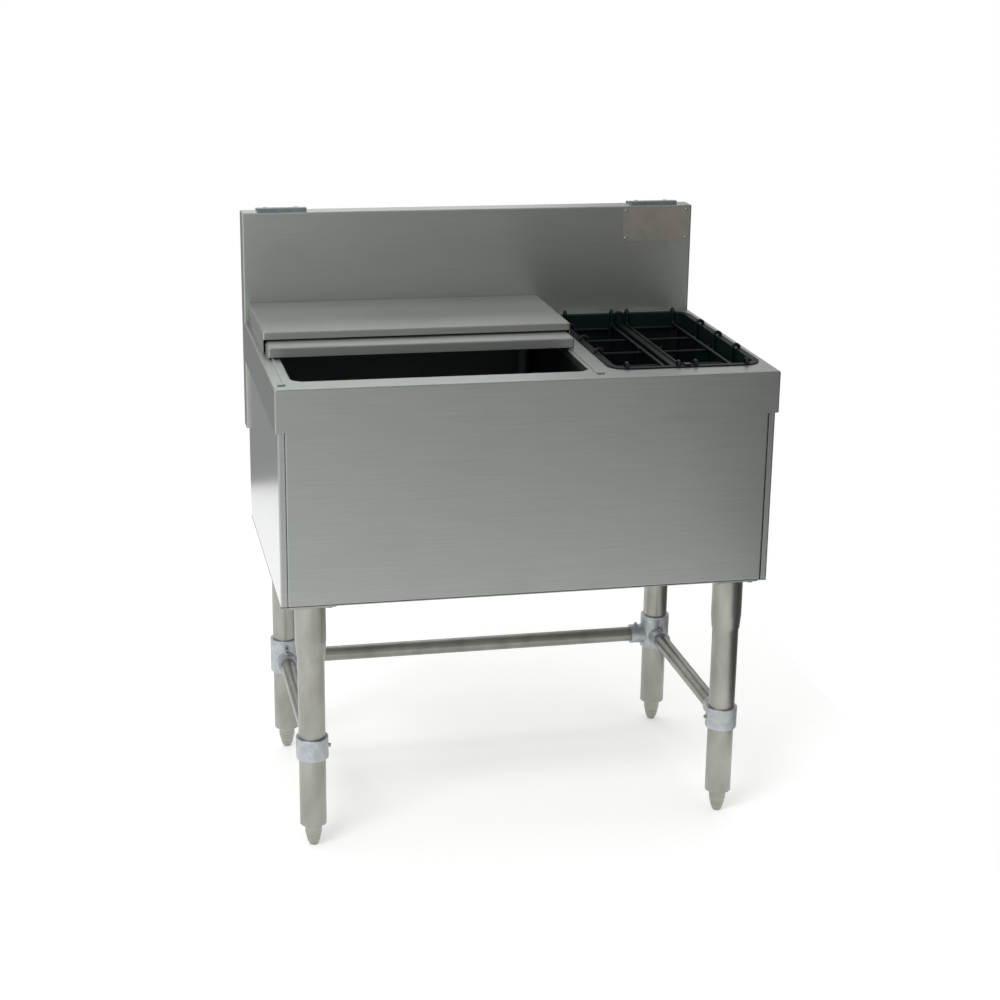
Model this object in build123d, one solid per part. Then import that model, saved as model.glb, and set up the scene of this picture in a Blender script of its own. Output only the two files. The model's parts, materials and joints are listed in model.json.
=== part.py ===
from build123d import *
import os

# Undercounter ice bin with a two-piece sliding cover, a bottle well and a tubular stand.
# Millimetres, +Z up, front towards -Y. The origin is on the floor, under the middle of the unit.

# Whole unit
WIDTH = 762.0
DEPTH = 508.0
RIM_HEIGHT = 740.0
BODY_HEIGHT = 333.0
SHEET = 1.2
BEND = 2.5
FLANGE = 10.0

# Deck and its openings
SKIRT_HEIGHT = 64.0
SKIRT_OVERHANG = 4.0
HEM_DEPTH = 12.0
HEM_ROUND = 2.0
OPENING_CORNER = 20.0
LEFT_RIM = 31.0
FRONT_RIM = 48.0
REAR_RIM = 25.0
DIVIDER_RIM = 43.0
WELL_LENGTH = 219.0
RIGHT_RIM = 22.0
WELL_FRONT_RIM = 56.0
WELL_REAR_RIM = 33.0

# Liners and insulation. The bin's tub is welded sheet, and the well's is moulded.
WELL_WALL = 3.0
LINER_FLOOR_ROUND = 18.0
BIN_LINER_SETBACK = 1.5
BIN_LINER_FLANGE = 10.0
BIN_FLOOR_RISE = 53.0
WELL_FLOOR_RISE = 103.0
WELL_FLANGE = 11.0
WELL_FLANGE_THICKNESS = 2.0
FOAM_RIGHT_OF_BIN = 33.0

# Backsplash and wall brackets
SPLASH_RISE = 180.0
SPLASH_TAIL = 180.0
SPLASH_DEPTH = 35.0
SPLASH_REAR_FLANGE = 14.0
SPLASH_SCREWS = 4
SPLASH_SCREW_INSET = 80.0
SPLASH_SCREW_RISE = 47.0
BRACKET_WIDTH = 80.0
BRACKET_EDGE = 26.0
BRACKET_PLATE = 3.0
BRACKET_HEM = 12.0
BRACKET_HEM_HEIGHT = 3.5
BRACKET_DROP = 37.0
BRACKET_LIP = 3.0
WALL_HOLE_SPACING = 50.0
WALL_HOLE_RADIUS = 3.2
WALL_HOLE_DROP = 27.0
BLANK_PLATE_WIDTH = 116.0
BLANK_PLATE_HEIGHT = 57.0
BLANK_PLATE_THICKNESS = 0.8
BLANK_PLATE_EDGE = 4.0
BLANK_PLATE_TOP_GAP = 3.0
RIVET_EDGE = 5.0

# Sliding covers
COVER_LEFT_OVERHANG = 23.0
COVER_RIGHT_OVERHANG = 16.0
COVER_DEPTH = 232.0
COVER_WALL_GAP = 1.0
COVER_LEAD = 43.0
UPPER_COVER_RISE = 33.0
UPPER_COVER_FACE = 11.5
LOWER_COVER_RISE = 18.0
LOWER_COVER_FACE = 15.0
COVER_HEM = 8.0
SKIRT_LIFT = 0.3
UPPER_GLIDE = 2.0
LOWER_GLIDE = 3.0
GLIDE_GAP = 0.5
GLIDE_SETBACK = 25.0
GUIDE_WIDTH = 3.0
GUIDE_HEIGHT = 2.5
GUIDE_REAR_GAP = 30.0
STOP_THICKNESS = 5.5
STOP_SETBACK = 24.0

# Bottle racks
WIRE = 5.0
WIRE_BEND = 5.0
HOOK_SPAN = 11.0
HOOK_WALL_GAP = 1.0
HOOK_RISE = 6.0
RACK_TOP_DROP = 17.0
RACK_DEPTH = 105.0
RACK_WIDTH = 81.0
RACK_SPACING = 27.0
CELLS_PER_RACK = 4
END_WIRE_INSET = 6.5
WELL_BAR_WIDTH = 10.0
WELL_BAR_HEIGHT = 7.0
WELL_BAR_HOOK = 3.0

# Drains
DRAIN_BODY_RADIUS = 16.7
DRAIN_TAIL_RADIUS = 15.9
DRAIN_BORE_RADIUS = 13.3
DRAIN_THREAD_PAST_NUT = 4.0
DRAIN_DROP = 57.0
DRAIN_FLANGE_RADIUS = 38.0
DRAIN_FLANGE_THICKNESS = 4.0
DRAIN_GASKET = 1.5
DRAIN_NUT = 12.0
DRAIN_NUT_FLATS = 50.0
STRAINER_RADIUS = 22.0
STRAINER_THICKNESS = 1.5
STRAINER_HOLE_RADIUS = 1.8
STRAINER_PITCH = 7.5
STRAINER_RINGS = 2
INNER_RING_HOLES = 6
BIN_DRAIN_REAR_GAP = 150.0

# Stand
LEG_RADIUS = 20.65
LEG_WALL = 1.5
LEG_INSET_X = 52.0
LEG_INSET_Y = 46.0
SOCKET_PLATE = 76.0
SOCKET_PLATE_THICKNESS = 3.0
SOCKET_PLATE_CORNER = 8.0
SOCKET_RADIUS = 23.8
SOCKET_LENGTH = 64.0
SOCKET_TIP_RADIUS = 21.9
SOCKET_TIP_LENGTH = 23.0
SOCKET_BOLT_OFFSET = 26.0
RAIL_HEIGHT = 165.0
RAIL_RADIUS = 12.7
RAIL_WALL = 1.5
COLLAR_RADIUS = 25.0
COLLAR_HALF_HEIGHT = 17.5
REAR_COLLAR_BELOW = 23.0
REAR_COLLAR_ABOVE = 36.0
STUB_RADIUS = 16.5
STUB_REACH = 45.0
STUB_SCREW_REACH = 35.0
COLLAR_SCREW_RISE = 26.0
FOOT_HEIGHT = 37.0
FOOT_RADIUS = 13.25
FOOT_TIP_RADIUS = 9.5
FOOT_STRAIGHT = 14.0
FOOT_NOSE = 7.0
FOOT_FLAT_RADIUS = 6.0
STEM_RADIUS = 6.0
STEM_LENGTH = 45.0
INSERT_LENGTH = 32.0

# Fasteners
BOLT_RADIUS = 3.0
BOLT_FLATS = 10.0
BOLT_HEAD = 4.0
BOLT_END_PAST_NUT = 2.8
NUT_HEIGHT = 5.0
SET_SCREW_RADIUS = 3.0
SET_SCREW_PROUD = 3.5
SET_SCREW_SOCKET = 3.0
SCREW_RADIUS = 2.4
SCREW_HEAD_RADIUS = 4.5
SCREW_HEAD = 2.5
SCREW_LENGTH = 11.0
RIVET_RADIUS = 1.6
RIVET_HEAD_RADIUS = 3.0
RIVET_HEAD = 1.0
RIVET_LENGTH = 4.0

# Fits
FIT_GAP = 0.05
SLIP_GAP = 0.2
HOLE_GAP = 0.3
CUT_OUT_GAP = 0.5
SEAM_GAP = 0.3
POCKET_GAP = 2.0

# How far cutting shapes run past a face, and how close two points count as one
PAST = 1.0
NEAR = 0.01

# How much of a domed head's height is its rounded edge
DOME = 0.8

# Planes worked out from the sizes
LEFT = -WIDTH / 2
RIGHT = WIDTH / 2
FRONT = -DEPTH / 2
BACK = DEPTH / 2
SPLASH_BACK = BACK - BRACKET_PLATE
SPLASH_FACE = SPLASH_BACK - SPLASH_DEPTH
SPLASH_TOP = RIM_HEIGHT + SPLASH_RISE
BODY_LEFT = LEFT + SKIRT_OVERHANG
BODY_RIGHT = RIGHT - SKIRT_OVERHANG
BODY_FRONT = FRONT + SKIRT_OVERHANG
BODY_BOTTOM = RIM_HEIGHT - BODY_HEIGHT
PAN_TOP = BODY_BOTTOM + SHEET
DECK_UNDERSIDE = RIM_HEIGHT - SHEET
BIN_FLOOR = BODY_BOTTOM + BIN_FLOOR_RISE
WELL_FLOOR = BODY_BOTTOM + WELL_FLOOR_RISE
RACK_TOP = RIM_HEIGHT - RACK_TOP_DROP
RACK_FLOOR = RACK_TOP - RACK_DEPTH
SEAM_LEFT = BODY_LEFT + FLANGE + SEAM_GAP
SEAM_RIGHT = BODY_RIGHT - FLANGE - SEAM_GAP

# Outlines seen from above: left, right, front, rear
WELL_RIGHT = RIGHT - RIGHT_RIM
WELL_LEFT = WELL_RIGHT - WELL_LENGTH
WELL = (WELL_LEFT, WELL_RIGHT, FRONT + WELL_FRONT_RIM, SPLASH_FACE - WELL_REAR_RIM)
BIN_LEFT = LEFT + LEFT_RIM
BIN_RIGHT = WELL_LEFT - DIVIDER_RIM
BIN = (BIN_LEFT, BIN_RIGHT, FRONT + FRONT_RIM, SPLASH_FACE - REAR_RIM)
WELL_MIDDLE = WELL_LEFT + WELL_LENGTH / 2
WELL_CENTRE_Y = (WELL[2] + WELL[3]) / 2
WELL_TOP = RIM_HEIGHT + WELL_FLANGE_THICKNESS

# Cover planes
COVER_LEFT = BIN_LEFT - COVER_LEFT_OVERHANG
COVER_RIGHT = BIN_RIGHT + COVER_RIGHT_OVERHANG
COVER_MIDDLE = (COVER_LEFT + COVER_RIGHT) / 2
UPPER_REAR = SPLASH_FACE - COVER_WALL_GAP
UPPER_FRONT = UPPER_REAR - COVER_DEPTH
LOWER_FRONT = UPPER_FRONT - COVER_LEAD
LOWER_LEFT = COVER_LEFT + SHEET + UPPER_GLIDE + GLIDE_GAP
LOWER_RIGHT = COVER_RIGHT - SHEET - UPPER_GLIDE - GLIDE_GAP
GUIDE_LEFT = LOWER_LEFT + SHEET + LOWER_GLIDE + GLIDE_GAP

# Stand places
LEG_LEFT = LEFT + LEG_INSET_X
LEG_RIGHT = RIGHT - LEG_INSET_X
LEG_FRONT = FRONT + LEG_INSET_Y
LEG_REAR = SPLASH_FACE - LEG_INSET_Y
LEG_PLACES = {
    "front_left": (LEG_LEFT, LEG_FRONT),
    "front_right": (LEG_RIGHT, LEG_FRONT),
    "rear_left": (LEG_LEFT, LEG_REAR),
    "rear_right": (LEG_RIGHT, LEG_REAR),
}
PLATE_UNDERSIDE = BODY_BOTTOM - SOCKET_PLATE_THICKNESS

# Drain places
BIN_DRAIN = ((BIN_LEFT + BIN_RIGHT) / 2, BIN[3] - BIN_DRAIN_REAR_GAP)
WELL_DRAIN = (WELL_MIDDLE, WELL_CENTRE_Y)

# The sides of a box, two for each axis, the low end first
SIDES = ("left", "right", "front", "rear", "bottom", "top")


def block(low, high):
    """A box between two opposite corners."""
    size = [b - a for a, b in zip(low, high)]
    middle = [(a + b) / 2 for a, b in zip(low, high)]
    return Pos(*middle) * Box(*size)


def rod(start, end, radius):
    """A round bar between two points."""
    run = Vector(end) - Vector(start)
    place = Plane(origin=start, z_dir=run)
    return place * Cylinder(radius, run.length, align=(Align.CENTER, Align.CENTER, Align.MIN))


def tube(start, end, outer, inner):
    """A round pipe between two points."""
    run = (Vector(end) - Vector(start)).normalized() * PAST
    return rod(start, end, outer) - rod(Vector(start) - run, Vector(end) + run, inner)


def hex_rod(start, end, flats):
    """A hexagonal bar between two points."""
    run = Vector(end) - Vector(start)
    section = RegularPolygon(flats / 2, 6, major_radius=False)
    return Plane(origin=start, z_dir=run) * extrude(section, run.length)


def grown(outline, margin):
    """An outline with each side moved outwards."""
    left, right, front, rear = outline
    return left - margin, right + margin, front - margin, rear + margin


def prism(outline, bottom, top, corner):
    """An upright block with rounded corners."""
    left, right, front, rear = outline
    place = Pos((left + right) / 2, (front + rear) / 2, bottom)
    return place * extrude(RectangleRounded(right - left, rear - front, corner), top - bottom)


def mirrored(shape, middle=0.0):
    """The shape's mirror image in an upright plane at X = middle."""
    return mirror(shape, Plane.YZ.offset(middle))


def axis_and_end(side):
    """The axis that a side of a box is square to, and the end of it on which the side lies."""
    return divmod(SIDES.index(side), 2)


def bent_edges(box, corners, open_sides):
    """The edges of a box along which two of its closed sides meet."""
    ends = [axis_and_end(side) for side in open_sides]
    chosen = []
    for edge in box.edges():
        middle = tuple(edge.center())
        if all(abs(middle[axis] - corners[end][axis]) > NEAR for axis, end in ends):
            chosen.append(edge)
    return chosen


def folded_block(low, high, open_sides, bend):
    """The solid block that a folded sheet goes round, with its bends rounded."""
    box = block(low, high)
    return fillet(bent_edges(box, (low, high), open_sides), bend)


def folded_shell(low, high, open_sides, bend=BEND):
    """A box of folded sheet, without the sides that are open."""
    corners = [list(low), list(high)]
    for side in SIDES:
        axis, end = axis_and_end(side)
        inwards = 1 - 2 * end
        corners[end][axis] += inwards * (-PAST if side in open_sides else SHEET)
    hollow = folded_block(*corners, open_sides, bend - SHEET)
    return folded_block(low, high, open_sides, bend) - hollow


def domed_screw(seat, out, head_radius, head_height, shank_radius, length):
    """A screw or rivet whose head stands on its seat and whose shank goes the other way."""
    seat = Vector(seat)
    out = Vector(out)
    top = seat + out * head_height
    head = rod(seat, top, head_radius)
    rim = [e for e in head.edges() if abs((e.center() - top).dot(out)) < NEAR]
    head = fillet(rim, head_height * DOME)
    return head + rod(seat, seat - out * length, shank_radius)


def set_screw(seat, out, length):
    """A headless screw with a hexagon socket in its outer end."""
    seat = Vector(seat)
    out = Vector(out)
    end = seat + out * length
    body = rod(seat, end, SET_SCREW_RADIUS)
    return body - hex_rod(end - out * SET_SCREW_SOCKET, end + out * PAST, SET_SCREW_SOCKET)


def around(place, offset):
    """Four points at the corners of a square round a place."""
    x, y = place
    return [(x + i * offset, y + j * offset) for i in (-1, 1) for j in (-1, 1)]


def drilled(shape, places, bottom, top, radius):
    """The shape with an upright round hole at each place."""
    for x, y in places:
        shape -= rod((x, y, bottom), (x, y, top), radius)
    return shape


# Body casing


def rim_deck():
    """The deck with its skirt, the hemmed bin opening and the cut-out for the bottle well."""
    skirt_bottom = RIM_HEIGHT - SKIRT_HEIGHT
    deck = folded_shell((LEFT, FRONT, skirt_bottom), (RIGHT, SPLASH_FACE, RIM_HEIGHT), ("rear", "bottom"))
    lip_low = (LEFT + SHEET, FRONT + SHEET, skirt_bottom)
    lip_high = (RIGHT - SHEET, SPLASH_FACE, skirt_bottom + SHEET)
    body_low = (BODY_LEFT, BODY_FRONT, skirt_bottom - PAST)
    body_high = (BODY_RIGHT, SPLASH_FACE + PAST, RIM_HEIGHT)
    deck += block(lip_low, lip_high) - block(body_low, body_high)
    deck += prism(grown(BIN, SHEET), RIM_HEIGHT - HEM_DEPTH, RIM_HEIGHT, OPENING_CORNER + SHEET)
    deck -= prism(BIN, RIM_HEIGHT - HEM_DEPTH - PAST, RIM_HEIGHT + PAST, OPENING_CORNER)
    left, right, front, rear = grown(BIN, NEAR)
    hem_edges = []
    for edge in deck.edges().group_by(Axis.Z)[-1]:
        middle = edge.center()
        if left < middle.X < right and front < middle.Y < rear:
            hem_edges.append(edge)
    deck = fillet(hem_edges, HEM_ROUND)
    margin = WELL_WALL + CUT_OUT_GAP
    cut_out = grown(WELL, margin)
    deck -= prism(cut_out, DECK_UNDERSIDE - PAST, RIM_HEIGHT + PAST, OPENING_CORNER + margin)
    return deck


def side_panel():
    """The left side of the casing, folded round at the front, rear, top and bottom."""
    low = (BODY_LEFT, BODY_FRONT, PAN_TOP)
    high = (BODY_LEFT + FLANGE, SPLASH_FACE, DECK_UNDERSIDE)
    return folded_shell(low, high, ("right",))


def front_panel():
    """The front of the casing, between the side panels' folded edges."""
    low = (SEAM_LEFT, BODY_FRONT, PAN_TOP)
    high = (SEAM_RIGHT, BODY_FRONT + FLANGE, DECK_UNDERSIDE)
    return folded_shell(low, high, ("rear",))


def rear_panel():
    """The rear of the casing, with holes for the screws that hold the backsplash's tail."""
    low = (SEAM_LEFT, SPLASH_FACE - FLANGE, PAN_TOP)
    high = (SEAM_RIGHT, SPLASH_FACE, DECK_UNDERSIDE)
    panel = folded_shell(low, high, ("front",))
    for x, z in splash_screw_places():
        panel -= rod((x, SPLASH_FACE - FLANGE, z), (x, SPLASH_FACE + PAST, z), SCREW_RADIUS + HOLE_GAP)
    return panel


def socket_bolt_places():
    """Where the bolts of all four leg sockets stand."""
    return [spot for place in LEG_PLACES.values() for spot in around(place, SOCKET_BOLT_OFFSET)]


def bottom_pan():
    """The flat pan under the casing, which carries the sockets and lets both drains through."""
    pan = block((BODY_LEFT, BODY_FRONT, BODY_BOTTOM), (BODY_RIGHT, SPLASH_FACE, PAN_TOP))
    low, high = BODY_BOTTOM - PAST, PAN_TOP + PAST
    pan = drilled(pan, socket_bolt_places(), low, high, BOLT_RADIUS + HOLE_GAP)
    return drilled(pan, (BIN_DRAIN, WELL_DRAIN), low, high, DRAIN_BODY_RADIUS + HOLE_GAP)


# Backsplash


def splash_screw_places():
    """Where the screws through the backsplash's tail stand, as X and Z."""
    height = RIM_HEIGHT - SPLASH_TAIL + SPLASH_SCREW_RISE
    first = LEFT + SPLASH_SCREW_INSET
    pitch = (WIDTH - 2 * SPLASH_SCREW_INSET) / (SPLASH_SCREWS - 1)
    return [(first + i * pitch, height) for i in range(SPLASH_SCREWS)]


def backsplash():
    """The boxed backsplash, open behind, with a tail down the rear of the casing."""
    low = (LEFT, SPLASH_FACE, RIM_HEIGHT - SPLASH_TAIL)
    high = (RIGHT, SPLASH_BACK, SPLASH_TOP)
    open_sides = ("rear", "bottom")
    splash = folded_shell(low, high, open_sides)
    rear_low = (LEFT, SPLASH_BACK - SHEET, low[2])
    inside_low = (LEFT + FLANGE, SPLASH_BACK - SHEET - PAST, low[2] - PAST)
    inside_high = (RIGHT - FLANGE, SPLASH_BACK + PAST, SPLASH_TOP - SPLASH_REAR_FLANGE)
    rear_flange = block(rear_low, high) - block(inside_low, inside_high)
    splash += rear_flange & folded_block(low, high, open_sides, BEND)
    for x, z in splash_screw_places():
        splash -= rod((x, SPLASH_FACE - PAST, z), (x, SPLASH_FACE + FLANGE, z), SCREW_RADIUS + HOLE_GAP)
    for x, z in rivet_places():
        splash -= rod((x, SPLASH_FACE - PAST, z), (x, SPLASH_FACE + FLANGE, z), RIVET_RADIUS + FIT_GAP)
    for x, y in bracket_screw_places():
        top = SPLASH_TOP + PAST
        splash -= rod((x, y, SPLASH_TOP - FLANGE), (x, y, top), SCREW_RADIUS + HOLE_GAP)
    return splash


def splash_screws():
    """The screws that hold the backsplash's tail to the rear panel."""
    seat = SPLASH_FACE + SHEET
    return [
        domed_screw((x, seat, z), (0, 1, 0), SCREW_HEAD_RADIUS, SCREW_HEAD, SCREW_RADIUS, SCREW_LENGTH)
        for x, z in splash_screw_places()
    ]


def blank_plate_outline():
    """The plate's left, right, bottom and top."""
    right = RIGHT - BLANK_PLATE_EDGE
    top = SPLASH_TOP - BLANK_PLATE_TOP_GAP
    return right - BLANK_PLATE_WIDTH, right, top - BLANK_PLATE_HEIGHT, top


def rivet_places():
    """Where the plate's four rivets stand, as X and Z."""
    left, right, bottom, top = blank_plate_outline()
    columns = (left + RIVET_EDGE, right - RIVET_EDGE)
    return [(x, z) for x in columns for z in (bottom + RIVET_EDGE, top - RIVET_EDGE)]


def blank_plate():
    """A bare plate riveted to the face of the backsplash."""
    left, right, bottom, top = blank_plate_outline()
    front = SPLASH_FACE - BLANK_PLATE_THICKNESS
    plate = block((left, front, bottom), (right, SPLASH_FACE, top))
    for x, z in rivet_places():
        plate -= rod((x, front - PAST, z), (x, SPLASH_FACE + PAST, z), RIVET_RADIUS + FIT_GAP)
    return plate


def plate_rivets():
    """The plate's rivets."""
    seat = SPLASH_FACE - BLANK_PLATE_THICKNESS
    return [
        domed_screw((x, seat, z), (0, -1, 0), RIVET_HEAD_RADIUS, RIVET_HEAD, RIVET_RADIUS, RIVET_LENGTH)
        for x, z in rivet_places()
    ]


def bracket_middle():
    """The X of the right wall bracket's middle."""
    return RIGHT - BRACKET_EDGE - BRACKET_WIDTH / 2


def bracket_screw_places():
    """Where the screws through both wall brackets stand, seen from above."""
    y = (SPLASH_FACE + BRACKET_LIP + BRACKET_HEM + BACK) / 2
    half = WALL_HOLE_SPACING / 2
    return [(side * bracket_middle() + i * half, y) for side in (-1, 1) for i in (-1, 1)]


def wall_bracket():
    """The right clip that hooks over the backsplash and is screwed to the wall."""
    middle = bracket_middle()
    left, right = middle - BRACKET_WIDTH / 2, middle + BRACKET_WIDTH / 2
    front = SPLASH_FACE + BRACKET_LIP
    plate_top = SPLASH_TOP + BRACKET_PLATE
    clip = block((left, front, SPLASH_TOP), (right, BACK, plate_top))
    clip += block((left, front, plate_top), (right, front + BRACKET_HEM, plate_top + BRACKET_HEM_HEIGHT))
    clip += block((left, SPLASH_BACK, SPLASH_TOP - BRACKET_DROP), (right, BACK, plate_top))
    hole_height = SPLASH_TOP - WALL_HOLE_DROP
    for side in (-1, 1):
        x = middle + side * WALL_HOLE_SPACING / 2
        clip -= rod((x, SPLASH_BACK - PAST, hole_height), (x, BACK + PAST, hole_height), WALL_HOLE_RADIUS)
    right_places = [place for place in bracket_screw_places() if place[0] > 0]
    return drilled(clip, right_places, SPLASH_TOP - PAST, plate_top + PAST, SCREW_RADIUS + HOLE_GAP)


def bracket_screws():
    """The screws that hold the wall brackets down on the backsplash."""
    seat = SPLASH_TOP + BRACKET_PLATE
    return [
        domed_screw((x, y, seat), (0, 0, 1), SCREW_HEAD_RADIUS, SCREW_HEAD, SCREW_RADIUS, SCREW_LENGTH)
        for x, y in bracket_screw_places()
    ]


# Liners, insulation and drains


def tub_block(outline, corner, floor, top, floor_round):
    """The solid space of a tub, rounded at its corners and round its floor."""
    space = prism(outline, floor, top, corner)
    return fillet(space.edges().group_by(Axis.Z)[0], floor_round)


def tub(outline, corner, floor, top, wall, drain):
    """A tub, open at the top, with a drain hole in its floor."""
    outside = tub_block(grown(outline, wall), corner + wall, floor - wall, top, LINER_FLOOR_ROUND + wall)
    inside = tub_block(outline, corner, floor, top + PAST, LINER_FLOOR_ROUND)
    hole = DRAIN_BODY_RADIUS + HOLE_GAP
    return drilled(outside - inside, (drain,), floor - wall - PAST, floor + PAST, hole)


def tub_flange(outline, corner, width, thickness, top):
    """The flat flange round a tub's mouth."""
    outer = prism(grown(outline, width), top - thickness, top, corner + width)
    return outer - prism(outline, top - thickness - PAST, top + PAST, corner)


def bin_liner():
    """The ice bin's tub, whose flange lies under the deck."""
    outline = grown(BIN, BIN_LINER_SETBACK)
    corner = OPENING_CORNER + BIN_LINER_SETBACK
    liner = tub(outline, corner, BIN_FLOOR, DECK_UNDERSIDE, SHEET, BIN_DRAIN)
    return liner + tub_flange(outline, corner, BIN_LINER_FLANGE, SHEET, DECK_UNDERSIDE)


def well_liner():
    """The bottle well's tub, which hangs in the deck by its flange."""
    liner = tub(WELL, OPENING_CORNER, WELL_FLOOR, WELL_TOP, WELL_WALL, WELL_DRAIN)
    return liner + tub_flange(WELL, OPENING_CORNER, WELL_FLANGE, WELL_FLANGE_THICKNESS, WELL_TOP)


def foam_block():
    """The insulation between the bin's tub and the casing."""
    bottom = PAN_TOP + SHEET
    top = DECK_UNDERSIDE - SHEET
    low = (BODY_LEFT + SHEET, BODY_FRONT + FLANGE + SEAM_GAP, bottom)
    high = (BIN_RIGHT + FOAM_RIGHT_OF_BIN, SPLASH_FACE - FLANGE - SEAM_GAP, top)
    foam = folded_block(low, high, ("right", "front", "rear"), BEND)
    margin = BIN_LINER_SETBACK + SHEET
    tub_round = LINER_FLOOR_ROUND + SHEET
    foam -= tub_block(grown(BIN, margin), OPENING_CORNER + margin, BIN_FLOOR - SHEET, top + PAST, tub_round)
    foam = drilled(foam, (BIN_DRAIN,), bottom - PAST, BIN_FLOOR, DRAIN_BODY_RADIUS + HOLE_GAP)
    pocket_top = PAN_TOP + NUT_HEIGHT + BOLT_END_PAST_NUT + POCKET_GAP
    return drilled(foam, socket_bolt_places(), bottom - PAST, pocket_top, BOLT_FLATS / 2 + POCKET_GAP)


def drain_flange(place, floor):
    """The drain's flanged tube, from the tub's floor to its plain tail below the pan."""
    x, y = place
    seat = floor + DRAIN_GASKET
    top = seat + DRAIN_FLANGE_THICKNESS
    tail_top = BODY_BOTTOM - DRAIN_NUT - DRAIN_THREAD_PAST_NUT
    end = BODY_BOTTOM - DRAIN_DROP
    flange = rod((x, y, seat), (x, y, top), DRAIN_FLANGE_RADIUS)
    flange = fillet(flange.edges().group_by(Axis.Z)[-1], DRAIN_FLANGE_THICKNESS / 2)
    body = flange + rod((x, y, tail_top), (x, y, seat), DRAIN_BODY_RADIUS)
    body += rod((x, y, end), (x, y, tail_top), DRAIN_TAIL_RADIUS)
    body -= rod((x, y, end - PAST), (x, y, top + PAST), DRAIN_BORE_RADIUS)
    recess = top - STRAINER_THICKNESS
    return body - rod((x, y, recess), (x, y, top + PAST), STRAINER_RADIUS + SLIP_GAP)


def drain_gasket(place, floor):
    """The seal between the drain's flange and the tub's floor."""
    x, y = place
    outer = DRAIN_FLANGE_RADIUS - DRAIN_GASKET
    return tube((x, y, floor), (x, y, floor + DRAIN_GASKET), outer, DRAIN_BODY_RADIUS + SLIP_GAP)


def drain_strainer(place, floor):
    """The perforated disc that lies in the drain's flange."""
    x, y = place
    top = floor + DRAIN_GASKET + DRAIN_FLANGE_THICKNESS
    bottom = top - STRAINER_THICKNESS
    holes = [(x, y)]
    for ring in range(1, STRAINER_RINGS + 1):
        spots = PolarLocations(ring * STRAINER_PITCH, ring * INNER_RING_HOLES)
        holes += [(x + spot.position.X, y + spot.position.Y) for spot in spots]
    disc = rod((x, y, bottom), (x, y, top), STRAINER_RADIUS)
    return drilled(disc, holes, bottom - PAST, top + PAST, STRAINER_HOLE_RADIUS)


def drain_locknut(place):
    """The nut that pulls the drain's tube down against the pan."""
    x, y = place
    bottom = BODY_BOTTOM - DRAIN_NUT
    nut = hex_rod((x, y, bottom), (x, y, BODY_BOTTOM), DRAIN_NUT_FLATS)
    return nut - rod((x, y, bottom - PAST), (x, y, BODY_BOTTOM + PAST), DRAIN_BODY_RADIUS + FIT_GAP)


# Sliding covers


def sliding_cover(left, right, front, top, face):
    """A folded cover, whose sides reach down to the deck and whose ends are shallower."""
    rear = front + COVER_DEPTH
    cover = folded_shell((left, front, RIM_HEIGHT + SKIRT_LIFT), (right, rear, top), ("bottom",))
    face_bottom = top - face
    for edge in (front, rear):
        low = (left - PAST, edge - BEND, RIM_HEIGHT)
        cover -= block(low, (right + PAST, edge + BEND, face_bottom))
    hem_left, hem_right = left + FLANGE / 2, right - FLANGE / 2
    for near, far in ((front + SHEET, front + COVER_HEM), (rear - COVER_HEM, rear - SHEET)):
        cover += block((hem_left, near, face_bottom), (hem_right, far, face_bottom + SHEET))
    return cover


def upper_cover():
    """The rear cover, which slides forward over the lower one."""
    top = RIM_HEIGHT + UPPER_COVER_RISE
    return sliding_cover(COVER_LEFT, COVER_RIGHT, UPPER_FRONT, top, UPPER_COVER_FACE)


def lower_cover():
    """The front cover, which slides under the upper one."""
    top = RIM_HEIGHT + LOWER_COVER_RISE
    return sliding_cover(LOWER_LEFT, LOWER_RIGHT, LOWER_FRONT, top, LOWER_COVER_FACE)


def glides(skirt_left, thickness, front, cover_top):
    """The pair of plastic strips inside a cover's side skirts, which slide on the deck."""
    low = (skirt_left + SHEET, front + GLIDE_SETBACK, RIM_HEIGHT)
    rear = front + COVER_DEPTH - GLIDE_SETBACK
    strip = block(low, (skirt_left + SHEET + thickness, rear, cover_top - BEND))
    return [strip, mirrored(strip, COVER_MIDDLE)]


def upper_cover_glides():
    """The upper cover's strips, which also guide it along the lower cover."""
    return glides(COVER_LEFT, UPPER_GLIDE, UPPER_FRONT, RIM_HEIGHT + UPPER_COVER_RISE)


def lower_cover_glides():
    """The lower cover's strips, which run outside the guides on the deck."""
    return glides(LOWER_LEFT, LOWER_GLIDE, LOWER_FRONT, RIM_HEIGHT + LOWER_COVER_RISE)


def cover_guide():
    """The left guide on the deck, with the stop that ends the covers' way forward."""
    front = FRONT + STOP_SETBACK
    right = GUIDE_LEFT + GUIDE_WIDTH
    rear = SPLASH_FACE - GUIDE_REAR_GAP
    top = RIM_HEIGHT + GUIDE_HEIGHT
    guide = block((GUIDE_LEFT, front, RIM_HEIGHT), (right, rear, top))
    return guide + block((COVER_LEFT, front, RIM_HEIGHT), (right, front + STOP_THICKNESS, top))


# Bottle racks


def wire(points):
    """A bent wire through the points, with its corners rounded."""
    path = FilletPolyline(points, radius=WIRE_BEND) if len(points) > 2 else Line(*points)
    section = Plane(origin=path @ 0, z_dir=path % 0) * Circle(WIRE / 2)
    return sweep(section, path=path)


def hook(edge, outwards):
    """Where a hook over the well's flange goes up and where it comes down, across a wall."""
    up = edge - outwards * (WIRE / 2 + HOOK_WALL_GAP)
    return up, up + outwards * HOOK_SPAN


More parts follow.
